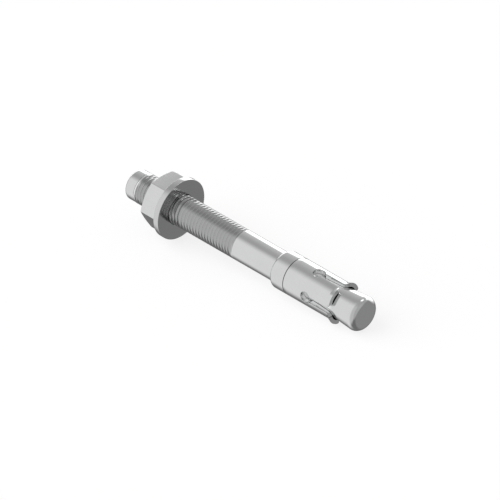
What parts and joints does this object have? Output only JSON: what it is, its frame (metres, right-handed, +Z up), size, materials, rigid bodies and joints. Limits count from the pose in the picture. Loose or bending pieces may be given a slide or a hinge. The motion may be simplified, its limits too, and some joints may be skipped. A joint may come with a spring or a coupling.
{
  "type": "wedge anchor bolt",
  "caption": "Wedge anchor bolt: threaded stud with washer and hex nut, and a slotted expansion clip round its tapered end, for fixing things to concrete.",
  "frame": {"origin": "on the surface the anchor lies on, under the middle of its overall box", "axes": "+X along the anchor towards its tip, +Y across it, +Z up; the stud's own axis dips towards the tip by about 2.9 degrees, because the washer is wider than the clip"},
  "size_m": [0.079, 0.016, 0.0161],
  "materials": {
    "stud_steel": "bright zinc plate, satin",
    "clip_steel": "bright zinc plate, satin",
    "washer_steel": "bright zinc plate, polished",
    "nut_steel": "bright zinc plate, satin"
  },
  "bodies": {
    "stud": {"bolt": "stud_steel"},
    "washer": {"washer": "washer_steel"},
    "nut": {"hex_nut": "nut_steel"},
    "clip": {"expansion_clip": "clip_steel"}
  },
  "joints": [
    {"name": "washer_slide", "type": "slide", "parent": "stud", "child": "washer", "axis": [0.9987, 0, -0.051], "range_m": [-0.005, 0.021]},
    {"name": "nut_turn", "type": "hinge", "parent": "washer", "child": "nut", "pos_m": [-0.02806, 0, 0.00821], "axis": [0.9987, 0, -0.051], "range_deg": [-1830, 7590]},
    {"name": "clip_slide", "type": "slide", "parent": "stud", "child": "clip", "axis": [0.9987, 0, -0.051], "range_m": [-0.00005, 0.00065]}
  ],
  "couplings": [
    {"joint": "nut_turn", "follows": "washer_slide", "rad_per_m": 6283.2}
  ]
}
